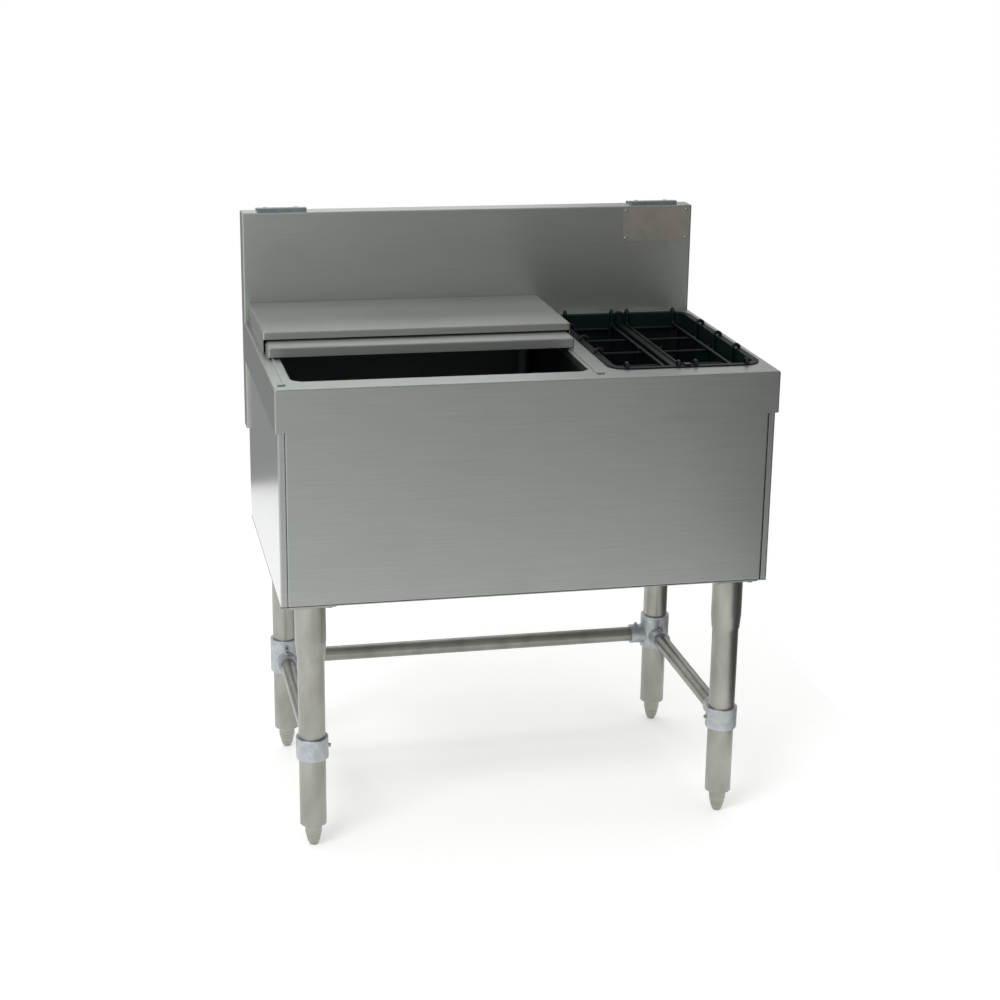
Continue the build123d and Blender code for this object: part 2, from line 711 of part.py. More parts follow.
def bottle_rack():
    """The right rack: welded wires that hang by hooks from the well's flange."""
    half = WIRE / 2
    inner = WELL_MIDDLE + RACK_SPACING / 2
    outer = inner + RACK_WIDTH
    left, right, front, rear = WELL
    hook_top = WELL_TOP + HOOK_RISE
    front_up, front_down = hook(front, -1)
    rear_up, rear_down = hook(rear, 1)
    side_up, side_down = hook(right, 1)
    wires = []
    for x in (inner, outer):
        wires.append(wire([
            (x, front_down, WELL_TOP), (x, front_down, hook_top), (x, front_up, hook_top),
            (x, front_up, RACK_TOP), (x, rear_up, RACK_TOP),
            (x, rear_up, hook_top), (x, rear_down, hook_top), (x, rear_down, WELL_TOP),
        ]))
    for x in (inner, (inner + outer) / 2, outer):
        wires.append(rod((x, front_up, RACK_FLOOR), (x, rear_up, RACK_FLOOR), half))
    first = front + END_WIRE_INSET
    pitch = (rear - END_WIRE_INSET - first) / CELLS_PER_RACK
    rows = [first + i * pitch for i in range(CELLS_PER_RACK + 1)]
    cross_top = RACK_TOP - WIRE
    cross_floor = RACK_FLOOR - WIRE
    for i, y in enumerate(rows):
        wires.append(rod((inner - half, y, cross_floor), (outer + half, y, cross_floor), half))
        if 0 < i < CELLS_PER_RACK:
            wires.append(wire([
                (inner - half, y, cross_top), (side_up, y, cross_top), (side_up, y, hook_top),
                (side_down, y, hook_top), (side_down, y, WELL_TOP),
            ]))
        else:
            wires.append(rod((inner - half, y, cross_top), (outer + half, y, cross_top), half))
    for y in (rows[0] + WIRE, rows[CELLS_PER_RACK // 2] + WIRE, rows[-1] - WIRE):
        for x in (inner + WIRE, outer + WIRE):
            wires.append(rod((x, y, cross_floor - half), (x, y, RACK_TOP + half), half))
    return wires


def well_divider_bar():
    """The bar between the two racks, hooked over the well's flange at both ends."""
    left = WELL_MIDDLE - WELL_BAR_WIDTH / 2
    right = WELL_MIDDLE + WELL_BAR_WIDTH / 2
    front, rear = WELL[2], WELL[3]
    bottom = RACK_TOP - WELL_BAR_HEIGHT / 2
    top = WELL_TOP + WELL_BAR_HOOK
    bar = block((left, front, bottom), (right, rear, bottom + WELL_BAR_HEIGHT))
    for edge, outwards in ((front, -1), (rear, 1)):
        inside = edge - outwards * WELL_BAR_HOOK
        outside = edge + outwards * (WELL_FLANGE - WELL_FLANGE_THICKNESS)
        bar += block((left, min(edge, inside), bottom), (right, max(edge, inside), top))
        bar += block((left, min(inside, outside), WELL_TOP), (right, max(inside, outside), top))
    return bar


# Stand


def leg_socket(place):
    """A socket bolted under the pan, with a tapered lower end round the leg."""
    x, y = place
    outline = (x - SOCKET_PLATE / 2, x + SOCKET_PLATE / 2, y - SOCKET_PLATE / 2, y + SOCKET_PLATE / 2)
    socket = prism(outline, PLATE_UNDERSIDE, BODY_BOTTOM, SOCKET_PLATE_CORNER)
    shoulder = PLATE_UNDERSIDE - SOCKET_LENGTH
    socket += rod((x, y, shoulder), (x, y, PLATE_UNDERSIDE), SOCKET_RADIUS)
    below = (Align.CENTER, Align.CENTER, Align.MAX)
    tip = Cone(SOCKET_TIP_RADIUS, SOCKET_RADIUS, SOCKET_TIP_LENGTH, align=below)
    socket += Pos(x, y, shoulder) * tip
    bore_bottom = shoulder - SOCKET_TIP_LENGTH - PAST
    socket = drilled(socket, (place,), bore_bottom, PLATE_UNDERSIDE, LEG_RADIUS + FIT_GAP)
    low, high = PLATE_UNDERSIDE - PAST, BODY_BOTTOM + PAST
    socket = drilled(socket, around(place, SOCKET_BOLT_OFFSET), low, high, BOLT_RADIUS + HOLE_GAP)
    screw = PLATE_UNDERSIDE - SOCKET_LENGTH / 2
    return socket - rod((x, y, screw), (x, y + SOCKET_RADIUS + PAST, screw), SET_SCREW_RADIUS + FIT_GAP)


def socket_bolts():
    """The bolts that come up through the sockets' plates and the pan."""
    bolts = []
    end = PAN_TOP + NUT_HEIGHT + BOLT_END_PAST_NUT
    for x, y in socket_bolt_places():
        head = hex_rod((x, y, PLATE_UNDERSIDE - BOLT_HEAD), (x, y, PLATE_UNDERSIDE), BOLT_FLATS)
        bolts.append(head + rod((x, y, PLATE_UNDERSIDE), (x, y, end), BOLT_RADIUS))
    return bolts


def socket_nuts():
    """The nuts of those bolts, on the pan inside the casing."""
    nuts = []
    top = PAN_TOP + NUT_HEIGHT
    for x, y in socket_bolt_places():
        nut = hex_rod((x, y, PAN_TOP), (x, y, top), BOLT_FLATS)
        nuts.append(drilled(nut, [(x, y)], PAN_TOP - PAST, top + PAST, BOLT_RADIUS + FIT_GAP))
    return nuts


def leg(place):
    """A tubular leg, from the foot to the top of its socket."""
    x, y = place
    return tube((x, y, FOOT_HEIGHT), (x, y, PLATE_UNDERSIDE), LEG_RADIUS, LEG_RADIUS - LEG_WALL)


def rail_ways(name):
    """The directions in which rails leave the fitting on a leg."""
    towards_other_end = (0, 1, 0) if name.startswith("front") else (0, -1, 0)
    ways = [Vector(towards_other_end)]
    if name.startswith("rear"):
        ways.append(Vector(1, 0, 0) if name.endswith("left") else Vector(-1, 0, 0))
    return ways


def collar_screw(name):
    """The seat height and the outward direction of the screw in a fitting's collar."""
    if name.startswith("rear"):
        return RAIL_HEIGHT + COLLAR_SCREW_RISE, Vector(0, -1, 0)
    return RAIL_HEIGHT, Vector(1, 0, 0) if name.endswith("left") else Vector(-1, 0, 0)


def corner_fitting(name, place):
    """A cast collar on a leg, with a stub for each rail."""
    x, y = place
    axis = Vector(x, y, RAIL_HEIGHT)
    below = above = COLLAR_HALF_HEIGHT
    if name.startswith("rear"):
        below, above = REAR_COLLAR_BELOW, REAR_COLLAR_ABOVE
    bottom, top = RAIL_HEIGHT - below, RAIL_HEIGHT + above
    collar = rod((x, y, bottom), (x, y, top), COLLAR_RADIUS)
    rims = collar.edges().group_by(Axis.Z)
    fitting = fillet(rims[0] + rims[-1], SHEET)
    for way in rail_ways(name):
        fitting += rod(axis, axis + way * STUB_REACH, STUB_RADIUS)
    for way in rail_ways(name):
        fitting -= rod(axis, axis + way * (STUB_REACH + PAST), RAIL_RADIUS + FIT_GAP)
        spot = axis + way * STUB_SCREW_REACH
        up = Vector(0, 0, STUB_RADIUS + PAST)
        fitting -= rod(spot, spot + up, SET_SCREW_RADIUS + FIT_GAP)
    height, out = collar_screw(name)
    seat = Vector(x, y, height)
    fitting -= rod(seat, seat + out * (COLLAR_RADIUS + PAST), SET_SCREW_RADIUS + FIT_GAP)
    return drilled(fitting, (place,), bottom - PAST, top + PAST, LEG_RADIUS + FIT_GAP)


def stand_set_screws():
    """All the stand's set screws: in the sockets, the collars and the stubs."""
    screws = []
    rear = Vector(0, 1, 0)
    up = Vector(0, 0, 1)
    for name, (x, y) in LEG_PLACES.items():
        seat = Vector(x, y, PLATE_UNDERSIDE - SOCKET_LENGTH / 2) + rear * (LEG_RADIUS + FIT_GAP)
        screws.append(set_screw(seat, rear, SOCKET_RADIUS - LEG_RADIUS + SET_SCREW_PROUD))
        height, out = collar_screw(name)
        seat = Vector(x, y, height) + out * (LEG_RADIUS + FIT_GAP)
        screws.append(set_screw(seat, out, COLLAR_RADIUS - LEG_RADIUS + SET_SCREW_PROUD))
        for way in rail_ways(name):
            seat = Vector(x, y, RAIL_HEIGHT) + way * STUB_SCREW_REACH + up * (RAIL_RADIUS + FIT_GAP)
            screws.append(set_screw(seat, up, STUB_RADIUS - RAIL_RADIUS + SET_SCREW_PROUD))
    return screws


def rail(start, end):
    """A rail between two legs, whose ends stop just short of the tubes."""
    start = Vector(*start, RAIL_HEIGHT)
    end = Vector(*end, RAIL_HEIGHT)
    inset = (end - start).normalized() * (LEG_RADIUS + CUT_OUT_GAP)
    return tube(start + inset, end - inset, RAIL_RADIUS, RAIL_RADIUS - RAIL_WALL)


def foot_insert(place):
    """The plug in a leg's lower end, with the hole for the foot's stem."""
    x, y = place
    top = FOOT_HEIGHT + INSERT_LENGTH
    return tube((x, y, FOOT_HEIGHT), (x, y, top), LEG_RADIUS - LEG_WALL - FIT_GAP, STEM_RADIUS + FIT_GAP)


def bullet_foot(place):
    """An adjustable foot, drawn as a turned profile with its stem."""
    taper_top = FOOT_HEIGHT - FOOT_STRAIGHT
    profile = Polyline(
        (0, 0), (FOOT_FLAT_RADIUS, 0), (FOOT_TIP_RADIUS, FOOT_NOSE), (FOOT_RADIUS, taper_top),
        (FOOT_RADIUS, FOOT_HEIGHT), (STEM_RADIUS, FOOT_HEIGHT), (STEM_RADIUS, FOOT_HEIGHT + STEM_LENGTH),
        (0, FOOT_HEIGHT + STEM_LENGTH), (0, 0),
    )
    foot = revolve(Plane.XZ * make_face(profile), Axis.Z)
    nose = [e for e in foot.edges() if abs(e.center().Z - FOOT_NOSE) < NEAR]
    return Pos(*place, 0) * fillet(nose, FOOT_NOSE / 2)


def all_pieces():
    """Every node's name with its shape, or its list of separate shapes."""
    pieces = {
        "rim_deck": rim_deck(),
        "front_panel": front_panel(),
        "left_side_panel": side_panel(),
        "right_side_panel": mirrored(side_panel()),
        "rear_panel": rear_panel(),
        "bottom_pan": bottom_pan(),
        "backsplash": backsplash(),
        "splash_screws": splash_screws(),
        "blank_plate": blank_plate(),
        "plate_rivets": plate_rivets(),
        "left_wall_bracket": mirrored(wall_bracket()),
        "right_wall_bracket": wall_bracket(),
        "bracket_screws": bracket_screws(),
        "bin_liner": bin_liner(),
        "well_liner": well_liner(),
        "foam_block": foam_block(),
        "upper_cover": upper_cover(),
        "upper_cover_glides": upper_cover_glides(),
        "lower_cover": lower_cover(),
        "lower_cover_glides": lower_cover_glides(),
        "left_cover_guide": cover_guide(),
        "right_cover_guide": mirrored(cover_guide(), COVER_MIDDLE),
        "left_bottle_rack": [mirrored(piece, WELL_MIDDLE) for piece in bottle_rack()],
        "right_bottle_rack": bottle_rack(),
        "well_divider_bar": well_divider_bar(),
        "socket_bolts": socket_bolts(),
        "socket_nuts": socket_nuts(),
        "stand_set_screws": stand_set_screws(),
        "rear_rail": rail(LEG_PLACES["rear_left"], LEG_PLACES["rear_right"]),
        "left_rail": rail(LEG_PLACES["front_left"], LEG_PLACES["rear_left"]),
        "right_rail": rail(LEG_PLACES["front_right"], LEG_PLACES["rear_right"]),
    }
    for name, place, floor in (("bin", BIN_DRAIN, BIN_FLOOR), ("well", WELL_DRAIN, WELL_FLOOR)):
        pieces[f"{name}_drain_flange"] = drain_flange(place, floor)
        pieces[f"{name}_drain_gasket"] = drain_gasket(place, floor)
        pieces[f"{name}_drain_strainer"] = drain_strainer(place, floor)
        pieces[f"{name}_drain_locknut"] = drain_locknut(place)
    for name, place in LEG_PLACES.items():
        pieces[f"{name}_socket"] = leg_socket(place)
        pieces[f"{name}_leg"] = leg(place)
        pieces[f"{name}_fitting"] = corner_fitting(name, place)
        pieces[f"{name}_foot_insert"] = foot_insert(place)
        pieces[f"{name}_foot"] = bullet_foot(place)
    return pieces


os.makedirs("parts", exist_ok=True)
for node, piece in all_pieces().items():
    if isinstance(piece, list):
        piece = Compound([solid for one in piece for solid in one.solids()])
    export_step(piece, f"parts/{node}.step")
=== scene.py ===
import json
import math

import bmesh
import bpy
from mathutils import Matrix, Vector

# Looks of an undercounter ice bin of brushed stainless steel, with a bottle well and a tubular stand.
# Metres, in the CAD model's frame: +Z up, front towards -Y, origin on the floor.
# Every node keeps its CAD shape and gets its finish here.

MM = 0.001

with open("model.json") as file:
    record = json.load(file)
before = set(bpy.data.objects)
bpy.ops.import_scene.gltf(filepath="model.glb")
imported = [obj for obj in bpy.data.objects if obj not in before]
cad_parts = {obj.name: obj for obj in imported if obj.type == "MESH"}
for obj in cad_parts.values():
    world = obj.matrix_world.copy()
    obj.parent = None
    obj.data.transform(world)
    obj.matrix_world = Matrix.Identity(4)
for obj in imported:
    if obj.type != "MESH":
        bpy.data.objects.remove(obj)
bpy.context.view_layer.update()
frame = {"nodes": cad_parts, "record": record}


# Node trees

# Input and output places of the Mix node, for numbers, vectors and colours
VALUE_A, VALUE_B, VALUE_OUT = 2, 3, 0
VECTOR_A, VECTOR_B, VECTOR_OUT = 4, 5, 1
COLOUR_A, COLOUR_B, COLOUR_OUT = 6, 7, 2

# A pattern's values lie mostly between these, so a map from them uses its whole range.
SPREAD = {"From Min": 0.3, "From Max": 0.7}


def add_node(tree, kind, inputs=(), **settings):
    """Adds a node. Inputs are values or other nodes' outputs, by the socket's name or place."""
    made = tree.nodes.new(kind)
    for name, value in settings.items():
        setattr(made, name, value)
    for socket, value in dict(inputs).items():
        if isinstance(value, bpy.types.NodeSocket):
            tree.links.new(value, made.inputs[socket])
        else:
            made.inputs[socket].default_value = value
    return made


def colour(code):
    """An sRGB hex colour as linear red, green, blue and alpha."""
    parts = [int(code[i:i + 2], 16) / 255 for i in (1, 3, 5)]
    linear = [p / 12.92 if p <= 0.04045 else ((p + 0.055) / 1.055) ** 2.4 for p in parts]
    return (*linear, 1.0)


def new_material(name):
    """A material with nothing in it yet, and its node tree."""
    material = bpy.data.materials.new(name)
    material.use_nodes = True
    material.node_tree.nodes.clear()
    return material, material.node_tree


def scale_of(cell):
    """The scale at which a pattern's cell measures three lengths in millimetres."""
    return [1 / (length * MM) for length in cell]


def mottle(tree, cell, detail=2.0, roughness=0.5):
    """Soft light and dark patches, each about as large as the cell."""
    place = add_node(tree, "ShaderNodeTexCoord").outputs["Object"]
    inputs = {"Vector": place, "Scale": scale_of(cell)}
    cells = add_node(tree, "ShaderNodeMapping", inputs).outputs["Vector"]
    inputs = {"Vector": cells, "Scale": 1.0, "Detail": detail, "Roughness": roughness}
    return add_node(tree, "ShaderNodeTexNoise", inputs).outputs["Fac"]


def patterned(material, tones, gloss, relief, **uniform):
    """Finishes a material whose tone, gloss and relief follow patterns.

    Tones are a pattern and the colours at its low and high ends, gloss is a pattern and the roughness
    there, and relief is a pattern, its height in millimetres and its strength. The rest is the same all
    over.
    """
    tree = material.node_tree
    tone_pattern, low_tone, high_tone = tones
    gloss_pattern, low_roughness, high_roughness = gloss
    relief_pattern, height, strength = relief

    share = add_node(tree, "ShaderNodeMapRange", {"Value": tone_pattern, **SPREAD}).outputs["Result"]
    inputs = {"Factor": share, COLOUR_A: colour(low_tone), COLOUR_B: colour(high_tone)}
    tone = add_node(tree, "ShaderNodeMix", inputs, data_type="RGBA").outputs[COLOUR_OUT]
    inputs = {"Value": gloss_pattern, **SPREAD, "To Min": low_roughness, "To Max": high_roughness}
    roughness = add_node(tree, "ShaderNodeMapRange", inputs).outputs["Result"]
    inputs = {"Height": relief_pattern, "Distance": height * MM, "Strength": strength}
    bump = add_node(tree, "ShaderNodeBump", inputs).outputs["Normal"]

    inputs = {"Base Color": tone, "Roughness": roughness, "Normal": bump, **uniform}
    shader = add_node(tree, "ShaderNodeBsdfPrincipled", inputs)
    add_node(tree, "ShaderNodeOutputMaterial", {"Surface": shader.outputs["BSDF"]})
    return material


# Finishes

# Cells of the patterns, in millimetres. A belt's scratches are about 0.1 mm apart, and so are polishing
# and lathe rings and the grain of a rolled or moulded skin. These are too fine for the picture, so they
# are drawn 1 mm wide or a little more. Streaks and rings are drawn far longer than they are wide.
STREAK = (90.0, 0.9, 0.9)
SIDE_STREAK = (0.9, 90.0, 0.9)
HAND_CLOUDS = (130.0, 130.0, 90.0)
POLISHING_RINGS = (400.0, 400.0, 1.4)
TUBE_CLOUDS = (30.0, 30.0, 70.0)
CASTING_PITS = (1.1, 1.1, 1.1)
CASTING_SKIN = (14.0, 14.0, 14.0)
LATHE_RING_REACH = 300.0
ROLLED_GRAIN = (0.9, 0.9, 0.9)
SCUFFS = (45.0, 45.0, 60.0)

# A brushed face's highlight stretches this way, across its level scratches: upwards on an upright face
# and to the rear on a level one.
ACROSS_SCRATCHES = {"X": 0.0, "Y": 0.01, "Z": 1.0}
BRUSHED_ANISOTROPY = 0.75
SCRATCH_HEIGHT = 0.012
SCRATCH_STRENGTH = 0.25
# How far streaks change a brushed face's roughness, and how much of its dark tone clouds bring
STREAK_GLOSS = 0.03
CLOUD_SHARE = 0.3
# A face looks left or right where its normal's X is larger than this, either way.
SIDE_FACING = 0.7


def is_side(tree):
    """One where the face looks left or right, and nought elsewhere."""
    normal = add_node(tree, "ShaderNodeNewGeometry").outputs["True Normal"]
    across = add_node(tree, "ShaderNodeSeparateXYZ", {"Vector": normal}).outputs["X"]
    size = add_node(tree, "ShaderNodeMath", {0: across}, operation="ABSOLUTE").outputs["Value"]
    inputs = {0: size, 1: SIDE_FACING}
    return add_node(tree, "ShaderNodeMath", inputs, operation="GREATER_THAN").outputs["Value"]


def belt_streaks(tree, side):
    """Long fine streaks: from left to right, or from front to rear on faces that look sideways."""
    place = add_node(tree, "ShaderNodeTexCoord").outputs["Object"]
    inputs = {"Vector": place, "Scale": scale_of(STREAK)}
    level = add_node(tree, "ShaderNodeMapping", inputs).outputs["Vector"]
    inputs = {"Vector": place, "Scale": scale_of(SIDE_STREAK)}
    side_level = add_node(tree, "ShaderNodeMapping", inputs).outputs["Vector"]
    inputs = {"Factor": side, VECTOR_A: level, VECTOR_B: side_level}
    along = add_node(tree, "ShaderNodeMix", inputs, data_type="VECTOR").outputs[VECTOR_OUT]
    inputs = {"Vector": along, "Scale": 1.0, "Detail": 3.0, "Roughness": 0.65}
    return add_node(tree, "ShaderNodeTexNoise", inputs).outputs["Fac"]


def brushed_steel(name, light, dark, roughness, painted_light_sides=()):
    """Stainless sheet, belt-brushed along its length: fine streaks that smear what it mirrors upwards.

    Painted light sides, when given, are the light and dark colours and the roughness of the faces that
    look left and right, where these differ. Their lighter colours are painted light.
    """
    material, tree = new_material(name)
    side = is_side(tree)
    streaks = belt_streaks(tree, side)
    # Handling leaves cloudy patches about a hand wide.
    clouds = mottle(tree, HAND_CLOUDS, detail=3.0)

    streak_share = add_node(tree, "ShaderNodeMapRange", {"Value": streaks, **SPREAD}).outputs["Result"]
    inputs = {"Factor": streak_share, COLOUR_A: colour(dark), COLOUR_B: colour(light)}
    streaked = add_node(tree, "ShaderNodeMix", inputs, data_type="RGBA").outputs[COLOUR_OUT]
    inputs = {"Value": clouds, **SPREAD, "To Max": CLOUD_SHARE}
    cloud_share = add_node(tree, "ShaderNodeMapRange", inputs).outputs["Result"]
    inputs = {"Factor": cloud_share, COLOUR_A: streaked, COLOUR_B: colour(dark)}
    tone = add_node(tree, "ShaderNodeMix", inputs, data_type="RGBA").outputs[COLOUR_OUT]

    inputs = {"Value": streaks, **SPREAD, "To Min": -STREAK_GLOSS, "To Max": STREAK_GLOSS}
    streak_gloss = add_node(tree, "ShaderNodeMapRange", inputs).outputs["Result"]
    inputs = {"Value": clouds, **SPREAD, "To Min": roughness - 0.03, "To Max": roughness + 0.04}
    cloud_gloss = add_node(tree, "ShaderNodeMapRange", inputs).outputs["Result"]
    inputs = {0: streak_gloss, 1: cloud_gloss}
    gloss = add_node(tree, "ShaderNodeMath", inputs, operation="ADD").outputs["Value"]

    # Faces that look left or right get their own colours: painted light that makes the sides brighter
    if painted_light_sides:
        side_light, side_dark, side_roughness = painted_light_sides
        inputs = {"Factor": streak_share, COLOUR_A: colour(side_dark), COLOUR_B: colour(side_light)}
        painted_light_side_tone = add_node(tree, "ShaderNodeMix", inputs, data_type="RGBA").outputs[COLOUR_OUT]
        inputs = {"Factor": side, COLOUR_A: tone, COLOUR_B: painted_light_side_tone}
        tone = add_node(tree, "ShaderNodeMix", inputs, data_type="RGBA").outputs[COLOUR_OUT]
        inputs = {"Factor": side, VALUE_A: gloss, VALUE_B: side_roughness}
        gloss = add_node(tree, "ShaderNodeMix", inputs).outputs[VALUE_OUT]

    inputs = {"Height": streaks, "Distance": SCRATCH_HEIGHT * MM, "Strength": SCRATCH_STRENGTH}
    scratches = add_node(tree, "ShaderNodeBump", inputs).outputs["Normal"]
    across = add_node(tree, "ShaderNodeCombineXYZ", ACROSS_SCRATCHES).outputs["Vector"]
    inputs = {"Base Color": tone, "Metallic": 1.0, "Roughness": gloss, "Normal": scratches,
              "Anisotropic": BRUSHED_ANISOTROPY, "Tangent": across}
    shader = add_node(tree, "ShaderNodeBsdfPrincipled", inputs)
    add_node(tree, "ShaderNodeOutputMaterial", {"Surface": shader.outputs["BSDF"]})
    return material


def drawn_tube(name, light, dark):
    """Stainless tube, polished round and round: soft bands across a bright column of light."""
    material, tree = new_material(name)
    rings = mottle(tree, POLISHING_RINGS)
    clouds = mottle(tree, TUBE_CLOUDS, detail=3.0)
    return patterned(material, tones=(clouds, light, dark), gloss=(rings, 0.3, 0.35),
                     relief=(rings, 0.004, 0.15), Metallic=1.0)


def cast_alloy(name, light, dark):
    """Aluminium alloy cast in a sand mould, tumbled bright: fine pits and a pale dull skin."""
    material, tree = new_material(name)
    pits = mottle(tree, CASTING_PITS, detail=3.0, roughness=0.6)
    skin = mottle(tree, CASTING_SKIN, detail=4.0)
    return patterned(material, tones=(skin, light, dark), gloss=(pits, 0.42, 0.6),
                     relief=(pits, 0.18, 0.5), Metallic=1.0)


def turned_metal(name, light, dark, ring_width=0.8):
    """Bar turned on a lathe: faint rings round its upright axis."""
    material, tree = new_material(name)
    rings = mottle(tree, (LATHE_RING_REACH, LATHE_RING_REACH, ring_width), detail=1.0)
    return patterned(material, tones=(rings, light, dark), gloss=(rings, 0.26, 0.4),
                     relief=(rings, 0.05, 0.4), Metallic=1.0)


def dulled_metal(name, light, dark, roughness, patch):
    """Rolled or plated metal whose dull skin is in patches, so many millimetres wide."""
    material, tree = new_material(name)
    patches = mottle(tree, (patch, patch, patch), detail=4.0, roughness=0.6)
    grain = mottle(tree, ROLLED_GRAIN)
    return patterned(material, tones=(patches, light, dark),
                     gloss=(patches, roughness - 0.06, roughness + 0.06),
                     relief=(grain, 0.03, 0.3), Metallic=1.0)


def moulded_plastic(name, light, dark, roughness, texture, relief, ior=1.5):
    """Plastic as it leaves the mould: an even colour, a fine grained skin and dull scuffed patches.

    Texture is the width of the skin's grain and relief its height, in millimetres.
    """
    material, tree = new_material(name)
    grain = mottle(tree, (texture, texture, texture))
    scuffs = mottle(tree, SCUFFS, detail=4.0, roughness=0.6)
    return patterned(material, tones=(scuffs, light, dark),
                     gloss=(scuffs, roughness - 0.05, roughness + 0.08),
                     relief=(grain, relief, 0.6), IOR=ior)


# Casing sheet: grey steel, dim and streaked, that mirrors the room as soft upright bands
SHEET = brushed_steel("brushed_stainless_sheet", "#B3B7B2", "#A4A8A3", roughness=0.35)
# Painted shade: the same sheet, a shade darker, on the front panel and the rim deck
SHADED_FRONT_SHEET = brushed_steel("brushed_stainless_front_painted_shade", "#AFB4AF", "#A0A5A0", roughness=0.35)
# Covers, scoured daily: the streaks blur into an even satin
COVER_SHEET = brushed_steel("brushed_stainless_cover", "#AFB2AD", "#A1A49F", roughness=0.44)
# Side panels: glossier, so they mirror the floor, and painted light: brighter colours on the faces that
# look left and right
SIDE_SHEET = brushed_steel("fine_brushed_stainless_side_painted_light", "#B3B7B2", "#A4A8A3", roughness=0.35,
                           painted_light_sides=("#CACECE", "#BEC2C2", 0.2))
# Rails, thinner tube than the legs, painted a darker grey than the leg tube: painted shade where they
# run low under the body
SHADED_RAIL_TUBE = drawn_tube("polished_rail_tube_painted_shade", "#999A93", "#868780")

SLOT_FINISHES = {
    "sheet_steel": SHEET,
    # Tub sheet, coarsely brushed, painted a dark grey that stands for the shade inside the bin: a dark
    # mouth with hardly a gleam
    "liner_steel": brushed_steel("brushed_stainless_tub_painted_shade", "#676B6D", "#5A5D5F", roughness=0.46),
    # Warm grey tube with one soft bright line
    "tube_steel": drawn_tube("polished_stainless_tube", "#A8A8A1", "#93938D"),
    # Bluish white castings that look chalky beside the tube
    "cast_metal": cast_alloy("tumbled_cast_aluminium", "#C4C9CC", "#A6ABAE"),
    # Warm grey feet, ringed like any turned bar
    "foot_steel": turned_metal("turned_stainless_bar", "#AFAEA6", "#8F8D85"),
    # Bluish grey zinc in patches, darker than the steel below
    "bracket_steel": dulled_metal("rolled_galvanised_strip", "#8D9598", "#788084",
                                  roughness=0.42, patch=12.0),
    # A warm, even, satin grey
    "plate_metal": dulled_metal("anodised_aluminium_plate", "#B0ABA1", "#A19C92",
                                roughness=0.38, patch=25.0),
    # Small bright heads
    "fasteners": dulled_metal("zinc_plated_steel", "#B2B3B0", "#93948F",
                              roughness=0.3, patch=4.0),
    # Bright rings round each drain
    "drain_metal": turned_metal("polished_stainless_drain", "#B5B5B0", "#9A9A94", ring_width=1.5),
    # Dull yellow nuts
    "brass_nut": turned_metal("machined_brass", "#C7A55E", "#A98843"),
    # Blue-black plastic with hardly a gleam: the real well gives back so little light that the IOR is
    # set below the typical 1.5
    "moulded_black": moulded_plastic("moulded_black_polyethylene", "#0D181B", "#081114",
                                     roughness=0.5, texture=1.2, relief=0.05, ior=1.22),
    # The same black on thick soft-edged wire, a little glossier
    "coated_wire": moulded_plastic("dipped_black_vinyl", "#0B1416", "#070E10",
                                   roughness=0.4, texture=3.0, relief=0.08, ior=1.3),
    # Off-white and waxy
    "nylon": moulded_plastic("machined_white_nylon", "#DEDCD2", "#CFCCC0",
                             roughness=0.5, texture=1.0, relief=0.03),
    # Flat black with no gleam
    "seal_rubber": moulded_plastic("moulded_black_rubber", "#1B1B1B", "#121212",
                                   roughness=0.7, texture=0.9, relief=0.06),
    # Straw yellow, coarse and quite matt
    "foam": moulded_plastic("poured_polyurethane_foam", "#DCCB96", "#C7B37C",
                            roughness=0.9, texture=1.6, relief=0.4),
}
NODE_FINISHES = {
    "rim_deck": SHADED_FRONT_SHEET,
    "front_panel": SHADED_FRONT_SHEET,
    "upper_cover": COVER_SHEET,
    "lower_cover": COVER_SHEET,
    "left_side_panel": SIDE_SHEET,
    "right_side_panel": SIDE_SHEET,
    "rear_rail": SHADED_RAIL_TUBE,
    "left_rail": SHADED_RAIL_TUBE,
    "right_rail": SHADED_RAIL_TUBE,
}


def dress_nodes():
    """Gives each CAD node the finish of its slot in the record, or one of its own."""
    for part in frame["record"]["subparts"]:
        name = part["node"]
        finish = NODE_FINISHES.get(name, SLOT_FINISHES[part["material_slot"]])
        mesh = frame["nodes"][name].data
        mesh.materials.clear()
        mesh.materials.append(finish)


# Floor and light

# Near left and far right corners of the floor. Its rear and right edges lie in the picture and hardly
# show, because the floor is lit there to almost the white behind it, even where the shadow ends.
FLOOR = ((-2.2, -1.5), (0.68, 1.75))
# Fibres of the paper, in millimetres
FLOOR_FIBRES = (3.0, 3.0, 3.0)
# What the floor adds to its own light for the camera and for mirrors, so that it reads as white
FLOOR_GLOW = 0.28

# Strength of the even light from all round
WORLD_STRENGTH = 0.68
# Strength of the white that the camera sees behind the object
WHITE = 1.0
# The room that metal mirrors. Each row is a direction, and how strong the room is along it.
ROOM = (
    # Bright behind and to the left of the object, dim to the right of the camera
    ((-0.85, 0.5, 0.0), {"From Min": -0.8, "From Max": -0.35, "To Min": 0.25, "To Max": 1.0}),
    # Dimmer low down, where the pale floor ends, most of all behind
    ((0.0, -0.3, 1.0), {"From Min": -0.3, "From Max": 0.1, "To Min": 0.3, "To Max": 1.0}),
    # Dimmer overhead
    ((0.0, 0.0, 1.0), {"From Min": 0.4, "From Max": 0.9, "To Min": 1.0, "To Max": 0.25}),
)

# Name, place, the point that it looks at, width, height and watts
SOFTBOXES = (
    ("key_softbox", (-1.9, -2.2, 3.0), (0.0, 0.0, 0.5), 1.8, 1.4, 50.0),
    ("overhead_softbox", (0.0, 0.3, 2.6), (0.0, 0.0, 0.7), 2.0, 1.4, 8.0),
    ("rear_softbox", (-0.2, 2.0, 2.2), (0.0, 0.0, 0.75), 1.8, 0.8, 7.0),
)


